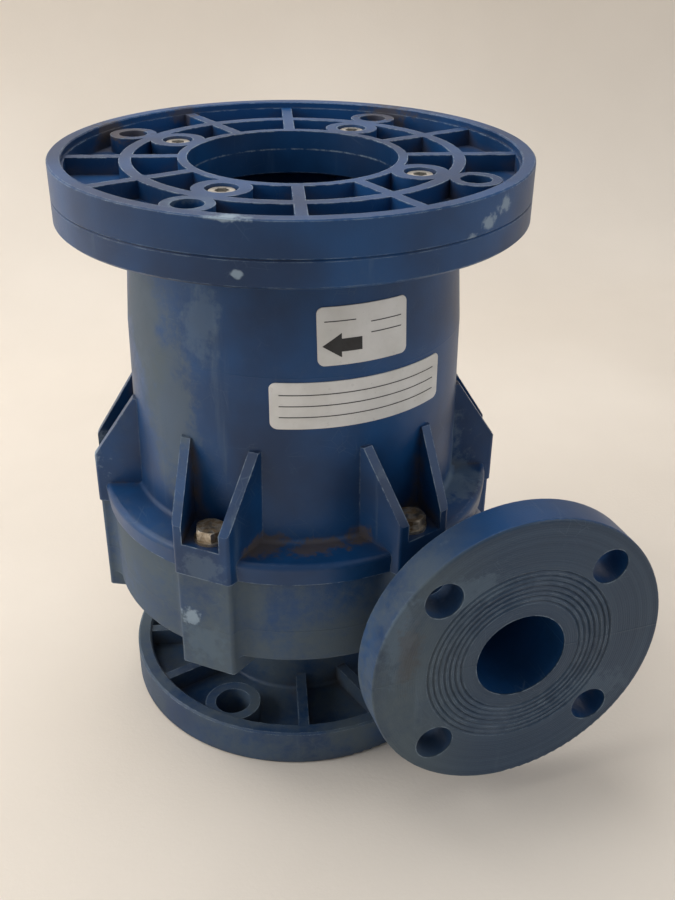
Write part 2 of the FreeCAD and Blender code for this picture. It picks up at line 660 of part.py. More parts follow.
def impeller():
    disc_bottom = BACK_SHROUD_TOP - SHROUD_THICKNESS
    body = revolved([
        (HUB_BORE_R, HUB_BOTTOM), (HUB_R - HUB_TAPER, HUB_BOTTOM, EDGE), (HUB_R, disc_bottom, HUB_ROUND),
        (IMPELLER_R, disc_bottom), (IMPELLER_R, BACK_SHROUD_TOP, EDGE), (NOSE_R, BACK_SHROUD_TOP),
        (NOSE_R, NOSE_BOTTOM), (HUB_BORE_R, NOSE_BOTTOM)])
    blade = vane(EYE_RING_BOTTOM, disc_bottom + JOIN)
    eye, bend, rim = shroud_profile()
    past = IMPELLER_R + OVERCUT
    below = revolved([(eye[0], 0), bend, rim, (past, OUTLET_BOTTOM), (past, 0)])
    blade = blade.cut([below, cylinder(EYE_INNER_R + OVERCUT, 0, EYE_TOP)])
    blades = around(blade, [index * 360 / VANE_COUNT for index in range(VANE_COUNT)])
    seat = cylinder(THRUST_R, HUB_BOTTOM - OVERCUT, HUB_BOTTOM + THRUST_SEAT_DEPTH)
    return fused([body] + blades).cut(seat)


def inner_drive():
    outer = CAN_INNER_R - DRIVE_GAP
    capsule = revolved([
        (BUSHING_R, NOSE_BOTTOM), (NOSE_R, NOSE_BOTTOM), (NOSE_R, BACK_SHROUD_TOP), (outer, BACK_SHROUD_TOP, DRIVE_EDGE),
        (outer, DRIVE_TOP, DRIVE_EDGE), (BUSHING_R, DRIVE_TOP)])
    pocket = ring(MAGNET_OUTER_R, YOKE_INNER_R, MAGNET_BOTTOM, MAGNET_TOP)
    return capsule.cut(pocket)


def drive_yoke():
    return ring(YOKE_OUTER_R, YOKE_INNER_R, MAGNET_BOTTOM, MAGNET_TOP)


def drive_magnets():
    span = 360 / MAGNET_COUNT - MAGNET_GAP_DEG
    section = Part.Face(rounded_wire([
        (V(YOKE_OUTER_R, 0, MAGNET_BOTTOM), 0), (V(MAGNET_OUTER_R, 0, MAGNET_BOTTOM), 0),
        (V(MAGNET_OUTER_R, 0, MAGNET_TOP), 0), (V(YOKE_OUTER_R, 0, MAGNET_TOP), 0)]))
    magnet = section.revolve(V(0, 0, 0), AXIS_Z, span)
    return around(magnet, [index * 360 / MAGNET_COUNT for index in range(MAGNET_COUNT)])


def shaft_bushing():
    return ring(BUSHING_R, SHAFT_R + RUNNING_CLEARANCE, NOSE_BOTTOM + BUSHING_INSET, DRIVE_TOP - BUSHING_INSET)


def pump_shaft():
    top = CAN_END_Z - CAN_END_THICKNESS - SHAFT_END_GAP
    return revolved([(0, SHAFT_BOTTOM), (SHAFT_R, SHAFT_BOTTOM, EDGE), (SHAFT_R, top, EDGE), (0, top)])


def casing_thrust_ring():
    return ring(THRUST_R, SHAFT_R + SPIGOT_GAP, SPIDER_TOP, SPIDER_TOP + THRUST_THICKNESS)


def impeller_thrust_ring():
    bottom = SPIDER_TOP + THRUST_THICKNESS + THRUST_GAP
    return ring(THRUST_R, SHAFT_R + THRUST_BORE_GAP, bottom, HUB_BOTTOM + THRUST_SEAT_DEPTH)


def rear_thrust_ring():
    top = CAN_END_Z - CAN_END_THICKNESS - SOCKET_DEPTH - THRUST_GAP
    return ring(THRUST_R, SHAFT_R + THRUST_BORE_GAP, DRIVE_TOP, top)


def bell_label(label):
    middle, span, bottom, top = label
    foot, kink, crown = bell_outer_profile()
    foot_o, kink_o, crown_o = bell_outer_profile(LABEL_THICKNESS)
    skin = revolved([foot, kink, crown, crown_o, kink_o, foot_o])
    half = BELL_KINK_R * math.sin(math.radians(span / 2))
    corners = [(V(0, -half, bottom), LABEL_CORNER), (V(0, half, bottom), LABEL_CORNER),
               (V(0, half, top), LABEL_CORNER), (V(0, -half, top), LABEL_CORNER)]
    stamp = turned(Part.Face(rounded_wire(corners)).extrude(V(LEDGE_R, 0, 0)), middle)
    return skin.common(stamp)


def main():
    os.makedirs("parts", exist_ok=True)
    export("motor_flange_plate", [motor_flange_plate()])
    export("flange_screws", flange_screws())
    export("flange_inserts", flange_inserts())
    export("motor_adapter", [motor_adapter()])
    export("housing_bolts", housing_bolts())
    export("housing_washers", housing_washers())
    export("housing_inserts", housing_inserts())
    export("volute_casing", [volute_casing()])
    export("barrier", [barrier()])
    export("barrier_oring", [barrier_oring()])
    export("pump_shaft", [pump_shaft()])
    export("casing_thrust_ring", [casing_thrust_ring()])
    export("impeller_thrust_ring", [impeller_thrust_ring()])
    export("rear_thrust_ring", [rear_thrust_ring()])
    export("impeller", [impeller()])
    export("impeller_shroud", [impeller_shroud()])
    export("inner_drive", [inner_drive()])
    export("drive_yoke", [drive_yoke()])
    export("drive_magnets", drive_magnets())
    export("shaft_bushing", [shaft_bushing()])
    export("arrow_label", [bell_label(ARROW_LABEL)])
    export("rating_label", [bell_label(RATING_LABEL)])


main()
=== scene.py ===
import bpy
import bmesh
import math
from mathutils import Matrix, Vector


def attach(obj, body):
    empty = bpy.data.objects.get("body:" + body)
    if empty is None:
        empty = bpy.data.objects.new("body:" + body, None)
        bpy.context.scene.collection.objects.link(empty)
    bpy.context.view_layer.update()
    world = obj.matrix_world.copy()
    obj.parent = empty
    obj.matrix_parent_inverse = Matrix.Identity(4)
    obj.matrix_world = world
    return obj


# Magnetically driven pump in blue moulded plastic, standing on its suction flange.
# Metres, +Z up the shaft; every finish is built on the part's own coordinates.

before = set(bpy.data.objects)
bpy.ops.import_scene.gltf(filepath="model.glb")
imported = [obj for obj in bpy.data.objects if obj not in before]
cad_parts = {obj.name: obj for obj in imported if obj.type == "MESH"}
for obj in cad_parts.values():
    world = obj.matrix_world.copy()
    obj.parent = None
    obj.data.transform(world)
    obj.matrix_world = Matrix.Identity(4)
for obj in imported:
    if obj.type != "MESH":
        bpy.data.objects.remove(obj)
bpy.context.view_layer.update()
print("loaded", len(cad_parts), "pieces")


# small helpers for shader trees; a value is a number, a colour or another node's output

def addNode(tree, kind, sockets=None, **settings):
    made = tree.nodes.new(kind)
    for key, value in settings.items():
        setattr(made, key, value)
    for key, value in (sockets or {}).items():
        if isinstance(value, bpy.types.NodeSocket):
            tree.links.new(value, made.inputs[key])
        else:
            made.inputs[key].default_value = value
    return made


def calculate(tree, operation, *values, clamp=False):
    sockets = dict(enumerate(values))
    return addNode(tree, "ShaderNodeMath", sockets, operation=operation, use_clamp=clamp).outputs[0]


def plus(tree, first, second):
    return calculate(tree, "ADD", first, second)


def minus(tree, first, second):
    return calculate(tree, "SUBTRACT", first, second)


def times(tree, first, second, clamp=False):
    return calculate(tree, "MULTIPLY", first, second, clamp=clamp)


def vectorMath(tree, operation, *values):
    return addNode(tree, "ShaderNodeVectorMath", dict(enumerate(values)), operation=operation).outputs


def axisShare(tree, place, axis):
    return addNode(tree, "ShaderNodeSeparateXYZ", {0: place}).outputs[axis]


def smoothRange(tree, value, low, high, toLow=0.0, toHigh=1.0):
    sockets = {"Value": value, "From Min": low, "From Max": high, "To Min": toLow, "To Max": toHigh}
    made = addNode(tree, "ShaderNodeMapRange", sockets, interpolation_type="SMOOTHSTEP")
    return made.outputs["Result"]


def noiseFactor(tree, place, scale, detail=5.0, roughness=0.55, distortion=0.0):
    sockets = {"Vector": place, "Scale": scale, "Detail": detail,
               "Roughness": roughness, "Distortion": distortion}
    return addNode(tree, "ShaderNodeTexNoise", sockets).outputs["Fac"]


def stretchedPlace(tree, place, scale, turn=(0.0, 0.0, 0.0)):
    sockets = {"Vector": place, "Rotation": turn, "Scale": scale}
    return addNode(tree, "ShaderNodeMapping", sockets).outputs[0]


def shelteredShare(tree, reach, samples):
    return addNode(tree, "ShaderNodeAmbientOcclusion", {"Distance": reach}, samples=samples).outputs["AO"]


def surfaceNormal(tree):
    return addNode(tree, "ShaderNodeNewGeometry").outputs["Normal"]


def mixColour(tree, factor, first, second):
    return addNode(tree, "ShaderNodeMix", {0: factor, 6: first, 7: second}, data_type="RGBA").outputs[2]


def newGroup(name, inputs, outputs):
    tree = bpy.data.node_groups.new(name, "ShaderNodeTree")
    for label, kind, value in inputs:
        socket = tree.interface.new_socket(name=label, in_out="INPUT", socket_type="NodeSocket" + kind)
        socket.default_value = value
    for label, kind in outputs:
        tree.interface.new_socket(name=label, in_out="OUTPUT", socket_type="NodeSocket" + kind)
    return tree, tree.nodes.new("NodeGroupInput").outputs, tree.nodes.new("NodeGroupOutput").inputs


def useGroup(tree, group, **values):
    return addNode(tree, "ShaderNodeGroup", values, node_tree=group).outputs


def partPlace(tree):
    return addNode(tree, "ShaderNodeTexCoord").outputs["Object"]


# effects shared by the materials; each has its fixed values in the dictionary above it

dustShares = {"broad": 0.75, "fine": 0.25, "fineScale": 14.0, "bare": 0.85, "spread": 0.6}


def buildDustFilm():
    tree, given, result = newGroup(
        "dustFilm",
        [("Scale", "Float", 22.0), ("Coverage", "Float", 0.5),
         ("Softness", "Float", 0.3), ("Settling", "Float", 0.2)],
        [("Mask", "Float")])
    place = partPlace(tree)
    broad = noiseFactor(tree, place, given["Scale"], 7.0, 0.62, 0.4)
    fine = noiseFactor(tree, place, times(tree, given["Scale"], dustShares["fineScale"]), 3.0, 0.7)
    up = calculate(tree, "MAXIMUM", axisShare(tree, surfaceNormal(tree), "Z"), 0.0)
    level = plus(tree, times(tree, broad, dustShares["broad"]), times(tree, fine, dustShares["fine"]))
    level = plus(tree, level, times(tree, up, given["Settling"]))
    start = minus(tree, dustShares["bare"], times(tree, given["Coverage"], dustShares["spread"]))
    end = plus(tree, start, given["Softness"])
    tree.links.new(smoothRange(tree, level, start, end), result["Mask"])
    return tree


wearLimits = {"bend": (0.01, 0.16), "open": (0.62, 0.9), "broken": (0.38, 0.62), "reach": 0.004, "samples": 6}


def buildEdgeWear():
    tree, given, result = newGroup(
        "edgeWear",
        [("Radius", "Float", 0.0012), ("Breakup", "Float", 180.0), ("Amount", "Float", 0.6)],
        [("Mask", "Float")])
    samples = wearLimits["samples"]
    bevel = addNode(tree, "ShaderNodeBevel", {"Radius": given["Radius"]}, samples=samples)
    dot = vectorMath(tree, "DOT_PRODUCT", bevel.outputs["Normal"], surfaceNormal(tree))["Value"]
    bend = smoothRange(tree, minus(tree, 1.0, dot), *wearLimits["bend"])
    exposed = smoothRange(tree, shelteredShare(tree, wearLimits["reach"], samples), *wearLimits["open"])
    grain = noiseFactor(tree, partPlace(tree), given["Breakup"], 4.0, 0.7)
    broken = smoothRange(tree, grain, *wearLimits["broken"])
    mask = times(tree, times(tree, bend, exposed), broken)
    tree.links.new(times(tree, mask, given["Amount"], clamp=True), result["Mask"])
    return tree


# corner dirt and painted shade: wherever AO finds a crevice sheltered, the part takes the soil colour, so
# this tint is dirt and painted shade together
dirtAndShadeLimits = {"deep": (0.78, 0.35), "broken": (0.36, 0.64), "samples": 8}


def buildCornerDirtAndShade():
    tree, given, result = newGroup(
        "cornerDirtAndShade",
        [("Reach", "Float", 0.010), ("Breakup", "Float", 60.0), ("Amount", "Float", 0.5)],
        [("Mask", "Float")])
    shelter = shelteredShare(tree, given["Reach"], dirtAndShadeLimits["samples"])
    deep = smoothRange(tree, shelter, *dirtAndShadeLimits["deep"])
    grain = noiseFactor(tree, partPlace(tree), given["Breakup"], 6.0, 0.65)
    broken = smoothRange(tree, grain, *dirtAndShadeLimits["broken"])
    tree.links.new(times(tree, times(tree, deep, broken), given["Amount"], clamp=True), result["Mask"])
    return tree


def buildMouldGrain():
    tree, given, result = newGroup(
        "mouldGrain",
        [("Fine", "Float", 1400.0), ("Fine amount", "Float", 0.35),
         ("Swell", "Float", 38.0), ("Swell amount", "Float", 0.65)],
        [("Height", "Float")])
    place = partPlace(tree)
    fine = times(tree, noiseFactor(tree, place, given["Fine"], 2.0, 0.5), given["Fine amount"])
    swell = times(tree, noiseFactor(tree, place, given["Swell"], 2.0, 0.4), given["Swell amount"])
    tree.links.new(plus(tree, fine, swell), result["Height"])
    return tree


runLimits = {"bare": 0.8, "spread": 0.5, "edge": 0.14}


def buildRunMarks():
    tree, given, result = newGroup(
        "runMarks",
        [("Scale", "Float", 60.0), ("Stretch", "Float", 0.08), ("Coverage", "Float", 0.4)],
        [("Mask", "Float")])
    stretch = addNode(tree, "ShaderNodeCombineXYZ", {"X": 1.0, "Y": 1.0, "Z": given["Stretch"]}).outputs[0]
    place = stretchedPlace(tree, partPlace(tree), stretch)
    line = noiseFactor(tree, place, given["Scale"], 5.0, 0.6, 0.2)
    start = minus(tree, runLimits["bare"], times(tree, given["Coverage"], runLimits["spread"]))
    tree.links.new(smoothRange(tree, line, start, plus(tree, start, runLimits["edge"])), result["Mask"])
    return tree


scratchShape = {
    "turns": ((0.3, 0.9, 0.2), (1.1, 0.1, 1.3)), "stretch": (1.0, 0.12, 1.0), "patch": 45.0, "edge": 0.08,
}


def buildScratches():
    tree, given, result = newGroup(
        "scratches",
        [("Scale", "Float", 90.0), ("Width", "Float", 0.012), ("Rarity", "Float", 0.55)],
        [("Mask", "Float")])
    place = partPlace(tree)
    lines = []
    for turn in scratchShape["turns"]:
        turned = stretchedPlace(tree, place, scratchShape["stretch"], turn)
        cells = addNode(tree, "ShaderNodeTexVoronoi", {"Vector": turned, "Scale": given["Scale"]},
                        feature="DISTANCE_TO_EDGE")
        lines.append(smoothRange(tree, cells.outputs["Distance"], given["Width"], 0.0))
    patch = noiseFactor(tree, place, scratchShape["patch"], 3.0)
    here = smoothRange(tree, patch, given["Rarity"], plus(tree, given["Rarity"], scratchShape["edge"]))
    tree.links.new(times(tree, calculate(tree, "MAXIMUM", *lines), here, clamp=True), result["Mask"])
    return tree


spotShape = {"middle": 0.5, "gain": 3.0, "rim": 1.0, "full": 0.45}


def buildSpot():
    tree, given, result = newGroup(
        "spot",
        [("Centre", "Vector", (0.0, 0.0, 0.0)), ("Size", "Vector", (0.01, 0.01, 0.01)),
         ("Ragged", "Float", 1.0), ("Breakup", "Float", 150.0)],
        [("Mask", "Float")])
    place = partPlace(tree)
    offset = vectorMath(tree, "SUBTRACT", place, given["Centre"])[0]
    distance = vectorMath(tree, "LENGTH", vectorMath(tree, "DIVIDE", offset, given["Size"])[0])["Value"]
    grain = minus(tree, noiseFactor(tree, place, given["Breakup"], 6.0, 0.7), spotShape["middle"])
    ragged = times(tree, times(tree, grain, given["Ragged"]), spotShape["gain"])
    mask = smoothRange(tree, plus(tree, distance, ragged), spotShape["rim"], spotShape["full"])
    tree.links.new(mask, result["Mask"])
    return tree


turnedCut = {"depth": 0.0003, "flatten": (1.0, 0.0, 1.0), "ringScale": 12.0, "smearScale": 22.0}


def buildTurnedFace():
    tree, given, result = newGroup(
        "turnedFace",
        [("Centre", "Vector", (0.0, 0.0, 0.0)), ("Face", "Float", -0.1455), ("Pitch", "Float", 5200.0)],
        [("Mask", "Float"), ("Height", "Float"), ("Smear", "Float")])
    place = partPlace(tree)
    inner = minus(tree, given["Face"], turnedCut["depth"])
    mask = smoothRange(tree, axisShare(tree, place, "Y"), given["Face"], inner)
    offset = vectorMath(tree, "SUBTRACT", place, given["Centre"])[0]
    flat = vectorMath(tree, "MULTIPLY", offset, turnedCut["flatten"])[0]
    radius = vectorMath(tree, "LENGTH", flat)["Value"]
    lines = calculate(tree, "SINE", times(tree, radius, given["Pitch"]))
    across = times(tree, radius, turnedCut["ringScale"])
    rings = addNode(tree, "ShaderNodeCombineXYZ", {"X": across}).outputs[0]
    tree.links.new(mask, result["Mask"])
    tree.links.new(times(tree, lines, mask), result["Height"])
    tree.links.new(noiseFactor(tree, rings, turnedCut["smearScale"], 4.0, 0.6), result["Smear"])
    return tree


def buildMouldLine():
    tree, given, result = newGroup(
        "mouldLine", [("Level", "Float", 0.0937), ("Width", "Float", 0.0004)], [("Mask", "Float")])
    away = calculate(tree, "ABSOLUTE", minus(tree, axisShare(tree, partPlace(tree), "Z"), given["Level"]))
    tree.links.new(smoothRange(tree, away, given["Width"], 0.0), result["Mask"])
    return tree


dustFilm = buildDustFilm()
edgeWear = buildEdgeWear()
cornerDirtAndShade = buildCornerDirtAndShade()
mouldGrain = buildMouldGrain()
runMarks = buildRunMarks()
scratches = buildScratches()
spot = buildSpot()
turnedFace = buildTurnedFace()
mouldLine = buildMouldLine()
print("effects built")


# no textures: a Principled shader whose even values are set on its own sockets
def startMaterial(name, roughness):
    material = bpy.data.materials.new(name)
    material.use_nodes = True
    tree = material.node_tree
    shader = tree.nodes["Principled BSDF"]
    shader.inputs["Roughness"].default_value = roughness
    return material, tree, shader


def addBump(tree, shader, height, strength, distance):
    bump = addNode(tree, "ShaderNodeBump", {"Height": height, "Strength": strength, "Distance": distance})
    tree.links.new(bump.outputs["Normal"], shader.inputs["Normal"])


def dress(nodeName, material):
    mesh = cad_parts[nodeName].data
    mesh.materials.clear()
    mesh.materials.append(material)
    for polygon in mesh.polygons:
        polygon.material_index = 0


# blue mouldings

bluePlastic = {
    "deep": (0.0028, 0.0240, 0.0780, 1.0), "bright": (0.0045, 0.0600, 0.1900, 1.0),
    "chalk": (0.120, 0.175, 0.235, 1.0), "scuff": (0.270, 0.350, 0.430, 1.0),
    "dust": (0.088, 0.116, 0.134, 1.0), "soilAndShade": (0.085, 0.062, 0.042, 1.0),
    "toneScale": 16.0, "toneEdge": (0.3, 0.7), "specular": 0.42,
    "roughness": 0.40, "filmRough": 0.45, "dirtAndShadeRough": 0.30, "markRough": 0.25, "roughest": 0.92,
    "ragged": 0.9, "breakup": 160.0, "turnedHeight": 0.12, "bump": 0.32, "bumpDepth": 0.0006,
}


def makeBluePlastic(name, look):
    material, tree, shader = startMaterial(name, bluePlastic["roughness"])
    shader.inputs["Specular IOR Level"].default_value = bluePlastic["specular"]
    place = partPlace(tree)
    patches = noiseFactor(tree, place, bluePlastic["toneScale"], 4.0, 0.5)
    tone = smoothRange(tree, patches, *bluePlastic["toneEdge"])
    colour = mixColour(tree, tone, bluePlastic["deep"], bluePlastic["bright"])
    colour = mixColour(tree, look["brightness"], colour, bluePlastic["bright"])
    height = useGroup(tree, mouldGrain, **{"Fine amount": look["grain"]})["Height"]

    if "face" in look:
        face = look["face"]
        cut = useGroup(tree, turnedFace, Centre=face["centre"], Face=face["plane"])
        smear = smoothRange(tree, cut["Smear"], *bluePlastic["toneEdge"])
        worn = mixColour(tree, smear, face["dark"], face["pale"])
        colour = mixColour(tree, times(tree, cut["Mask"], face["amount"]), colour, worn)
        height = plus(tree, height, times(tree, cut["Height"], bluePlastic["turnedHeight"]))
    for line in look.get("lines", ()):
        mask = useGroup(tree, mouldLine, Level=line["level"], Width=line["width"])["Mask"]
        height = plus(tree, height, times(tree, mask, line["height"]))

    film = useGroup(tree, dustFilm, Scale=look["dustScale"], Coverage=look["dust"],
                    Settling=look["settling"])["Mask"]
    # the dust film thins away from -X, so the left side is paler: dust and a painted highlight on the left
    if "dustAndHighlightSide" in look:
        dustHighlightSide = look["dustAndHighlightSide"]
        share = smoothRange(tree, axisShare(tree, place, "X"), dustHighlightSide["from"], dustHighlightSide["to"], dustHighlightSide["least"], 1.0)
        film = times(tree, film, share)
    film = times(tree, film, look["dustStrength"])
    runs = useGroup(tree, runMarks, Scale=look["runScale"], Coverage=look["runs"])["Mask"]
    runs = times(tree, runs, look["runStrength"])
    scores = times(tree, useGroup(tree, scratches)["Mask"], look["scratches"])
    # sheltered crevices take the brown soil colour: dirt and painted shade
    dirtAndShade = useGroup(tree, cornerDirtAndShade, Amount=look["cornerDirtAndShade"])["Mask"]
    wear = useGroup(tree, edgeWear, Amount=look["edgeWear"])["Mask"]
    layers = ((film, "dust"), (runs, "chalk"), (scores, "chalk"), (dirtAndShade, "soilAndShade"), (wear, "scuff"))
    for mask, kind in layers:
        colour = mixColour(tree, mask, colour, bluePlastic[kind])

    rough = plus(tree, times(tree, film, bluePlastic["filmRough"]), bluePlastic["roughness"])
    rough = plus(tree, rough, times(tree, dirtAndShade, bluePlastic["dirtAndShadeRough"]))
    for mark in look.get("marks", ()):
        mask = useGroup(tree, spot, Centre=mark["at"], Size=mark["size"],
                        Ragged=mark.get("ragged", bluePlastic["ragged"]),
                        Breakup=mark.get("breakup", bluePlastic["breakup"]))["Mask"]
        mask = times(tree, mask, mark["strength"])
        colour = mixColour(tree, mask, colour, bluePlastic[mark["kind"]])
        rough = plus(tree, rough, times(tree, mask, bluePlastic["markRough"]))
    rough = calculate(tree, "MINIMUM", rough, bluePlastic["roughest"])
    tree.links.new(colour, shader.inputs["Base Color"])
    tree.links.new(rough, shader.inputs["Roughness"])
    addBump(tree, shader, height, bluePlastic["bump"], bluePlastic["bumpDepth"])
    return material


plateLook = {
    "brightness": 0.15, "grain": 0.30, "scratches": 0.15, "cornerDirtAndShade": 0.50, "edgeWear": 0.95,
    "dust": 0.45, "dustScale": 26.0, "settling": 0.02, "dustStrength": 0.45,
    "runs": 0.18, "runScale": 55.0, "runStrength": 0.20,
    "marks": [
        {"kind": "scuff", "at": (0.0445, -0.1053, 0.2865), "size": (0.004, 0.004, 0.004), "strength": 0.70},
        {"kind": "scuff", "at": (0.0553, -0.1000, 0.2925), "size": (0.006, 0.006, 0.004), "strength": 0.75},
        {"kind": "scuff", "at": (0.0648, -0.0941, 0.2975), "size": (0.006, 0.006, 0.004), "strength": 0.75},
        {"kind": "scuff", "at": (-0.0570, -0.0990, 0.3038), "size": (0.010, 0.010, 0.0016), "strength": 0.80},
        {"kind": "soilAndShade", "at": (-0.0700, 0.0720, 0.3012), "size": (0.018, 0.020, 0.008), "strength": 0.65},
        {"kind": "soilAndShade", "at": (0.0750, 0.0700, 0.3012), "size": (0.018, 0.018, 0.008), "strength": 0.60},
        {"kind": "soilAndShade", "at": (-0.0307, 0.1015, 0.3012), "size": (0.012, 0.010, 0.006), "strength": 0.55},
        {"kind": "chalk", "at": (-0.0650, -0.0650, 0.3012), "size": (0.014, 0.014, 0.003), "strength": 0.40},
    ],
}
adapterLook = {
    "brightness": 0.0, "grain": 0.30, "scratches": 0.20, "cornerDirtAndShade": 0.80, "edgeWear": 0.85,
    "dust": 0.55, "dustScale": 16.0, "settling": 0.02, "dustStrength": 0.75,
    "runs": 0.40, "runScale": 60.0, "runStrength": 0.30,
    # dust and a painted highlight: the film is heaviest on the bell's left side
    "dustAndHighlightSide": {"from": 0.045, "to": -0.060, "least": 0.18},
    "lines": [{"level": 0.2230, "width": 0.0005, "height": 0.3}],
    "marks": [
        {"kind": "scuff", "at": (-0.0540, -0.1007, 0.2816), "size": (0.003, 0.003, 0.002), "strength": 0.80},
        # these two large pale dust patches on the bell's left flank are dust and a painted highlight
        {"kind": "dust", "at": (-0.0815, -0.0202, 0.2380), "size": (0.030, 0.034, 0.050), "strength": 0.75,
         "ragged": 0.6, "breakup": 48.0},
        {"kind": "dust", "at": (-0.0740, -0.0400, 0.1950), "size": (0.026, 0.022, 0.050), "strength": 0.65,
         "ragged": 0.7, "breakup": 60.0},
        {"kind": "chalk", "at": (-0.0620, -0.0560, 0.2480), "size": (0.012, 0.012, 0.022), "strength": 0.35,
         "ragged": 0.9, "breakup": 70.0},
        {"kind": "soilAndShade", "at": (-0.0417, -0.0790, 0.1360), "size": (0.018, 0.010, 0.007), "strength": 0.75},
        {"kind": "soilAndShade", "at": (-0.0150, -0.0880, 0.1355), "size": (0.024, 0.007, 0.006), "strength": 0.75},
        {"kind": "soilAndShade", "at": (0.0100, -0.0870, 0.1360), "size": (0.016, 0.007, 0.008), "strength": 0.65},
        {"kind": "chalk", "at": (0.0690, -0.0560, 0.1350), "size": (0.020, 0.016, 0.008), "strength": 0.60,
         "ragged": 1.1, "breakup": 110.0},
        {"kind": "chalk", "at": (0.0800, -0.0440, 0.1400), "size": (0.014, 0.012, 0.030), "strength": 0.45,
         "ragged": 1.1, "breakup": 90.0},
        {"kind": "scuff", "at": (-0.1046, 0.0222, 0.1500), "size": (0.008, 0.018, 0.014), "strength": 0.60},
        {"kind": "chalk", "at": (-0.0720, -0.0800, 0.1300), "size": (0.014, 0.014, 0.010), "strength": 0.35},
    ],
}
casingLook = {
    "brightness": 0.20, "grain": 0.45, "scratches": 0.25, "cornerDirtAndShade": 0.55, "edgeWear": 0.75,
    "dust": 0.90, "dustScale": 18.0, "settling": 0.0, "dustStrength": 0.85,
    "runs": 0.35, "runScale": 70.0, "runStrength": 0.30,
    # dust and a painted highlight: the film is heaviest on the casing's left side
    "dustAndHighlightSide": {"from": 0.055, "to": 0.000, "least": 0.06},
    "lines": [{"level": 0.0937, "width": 0.0006, "height": 1.2}],
    "face": {"centre": (0.067, -0.146, 0.093), "plane": -0.1450, "amount": 0.85,
             "dark": (0.012, 0.032, 0.062, 1.0), "pale": (0.030, 0.058, 0.094, 1.0)},
    "marks": [
        {"kind": "scuff", "at": (-0.0770, -0.0735, 0.0985), "size": (0.007, 0.007, 0.006), "strength": 0.85},
        {"kind": "chalk", "at": (-0.0720, -0.0780, 0.0840), "size": (0.016, 0.014, 0.014), "strength": 0.35},
        {"kind": "chalk", "at": (0.0020, -0.1460, 0.1200), "size": (0.010, 0.002, 0.030), "strength": 0.45},
        {"kind": "chalk", "at": (0.0350, -0.1460, 0.1380), "size": (0.024, 0.002, 0.010), "strength": 0.35},
        {"kind": "soilAndShade", "at": (0.0080, -0.1460, 0.1080), "size": (0.008, 0.002, 0.022), "strength": 0.35},
        {"kind": "chalk", "at": (0.1100, -0.1460, 0.0600), "size": (0.026, 0.002, 0.014), "strength": 0.22},
    ],
}
dress("motor_flange_plate", makeBluePlastic("plateBlue", plateLook))
dress("motor_adapter", makeBluePlastic("adapterBlue", adapterLook))
dress("volute_casing", makeBluePlastic("casingBlue", casingLook))
wetLook = {
    "brightness": 0.35, "grain": 0.20, "scratches": 0.20, "cornerDirtAndShade": 0.30, "edgeWear": 0.30,
    "dust": 0.20, "dustScale": 40.0, "settling": 0.05, "dustStrength": 0.25,
    "runs": 0.20, "runScale": 80.0, "runStrength": 0.20,
}
wetBlue = makeBluePlastic("wetBlue", wetLook)
dress("impeller", wetBlue)
dress("impeller_shroud", wetBlue)
print("blue mouldings dressed")


# metal pieces

metalFinish = {
    "toneEdge": (0.35, 0.65), "settling": 0.05, "softness": 0.16, "dirtAndShadeReach": 0.003, "dirtBreakup": 400.0,
    "wearRadius": 0.0005, "wearBreakup": 500.0, "wear": 0.8, "brushScale": 900.0,
    "stainRough": 0.35, "brushRough": 0.12, "stainDull": 0.7, "bump": 0.25, "bumpDepth": 0.00012,
}


def makeMetal(name, look):
    material, tree, shader = startMaterial(name, look["roughness"])
    shader.inputs["Metallic"].default_value = 1.0
    place = partPlace(tree)
    tone = smoothRange(tree, noiseFactor(tree, place, look["toneScale"], 5.0, 0.6), *metalFinish["toneEdge"])
    colour = mixColour(tree, tone, look["dark"], look["light"])
    stain = useGroup(tree, dustFilm, Scale=look["stainScale"], Coverage=look["stain"],
                     Settling=metalFinish["settling"], Softness=metalFinish["softness"])["Mask"]
    # sheltered hollows of the metal join the stain: stain and painted shade
    dirtAndShade = useGroup(tree, cornerDirtAndShade, Reach=metalFinish["dirtAndShadeReach"], Breakup=metalFinish["dirtBreakup"],
                    Amount=look["cornerDirtAndShade"])["Mask"]
    stain = calculate(tree, "MAXIMUM", stain, dirtAndShade)
    colour = mixColour(tree, stain, colour, look["stainColour"])
    wear = useGroup(tree, edgeWear, Radius=metalFinish["wearRadius"], Breakup=metalFinish["wearBreakup"],
                    Amount=metalFinish["wear"])["Mask"]
    colour = mixColour(tree, wear, colour, look["light"])
    lines = noiseFactor(tree, stretchedPlace(tree, place, look["brush"]), metalFinish["brushScale"], 2.0, 0.6)
    rough = plus(tree, times(tree, stain, metalFinish["stainRough"]), look["roughness"])
    rough = plus(tree, rough, times(tree, lines, metalFinish["brushRough"]))
    metallic = minus(tree, 1.0, times(tree, stain, metalFinish["stainDull"]))
    tree.links.new(colour, shader.inputs["Base Color"])
    tree.links.new(rough, shader.inputs["Roughness"])
    tree.links.new(metallic, shader.inputs["Metallic"])
    addBump(tree, shader, plus(tree, lines, stain), metalFinish["bump"], metalFinish["bumpDepth"])
    return material


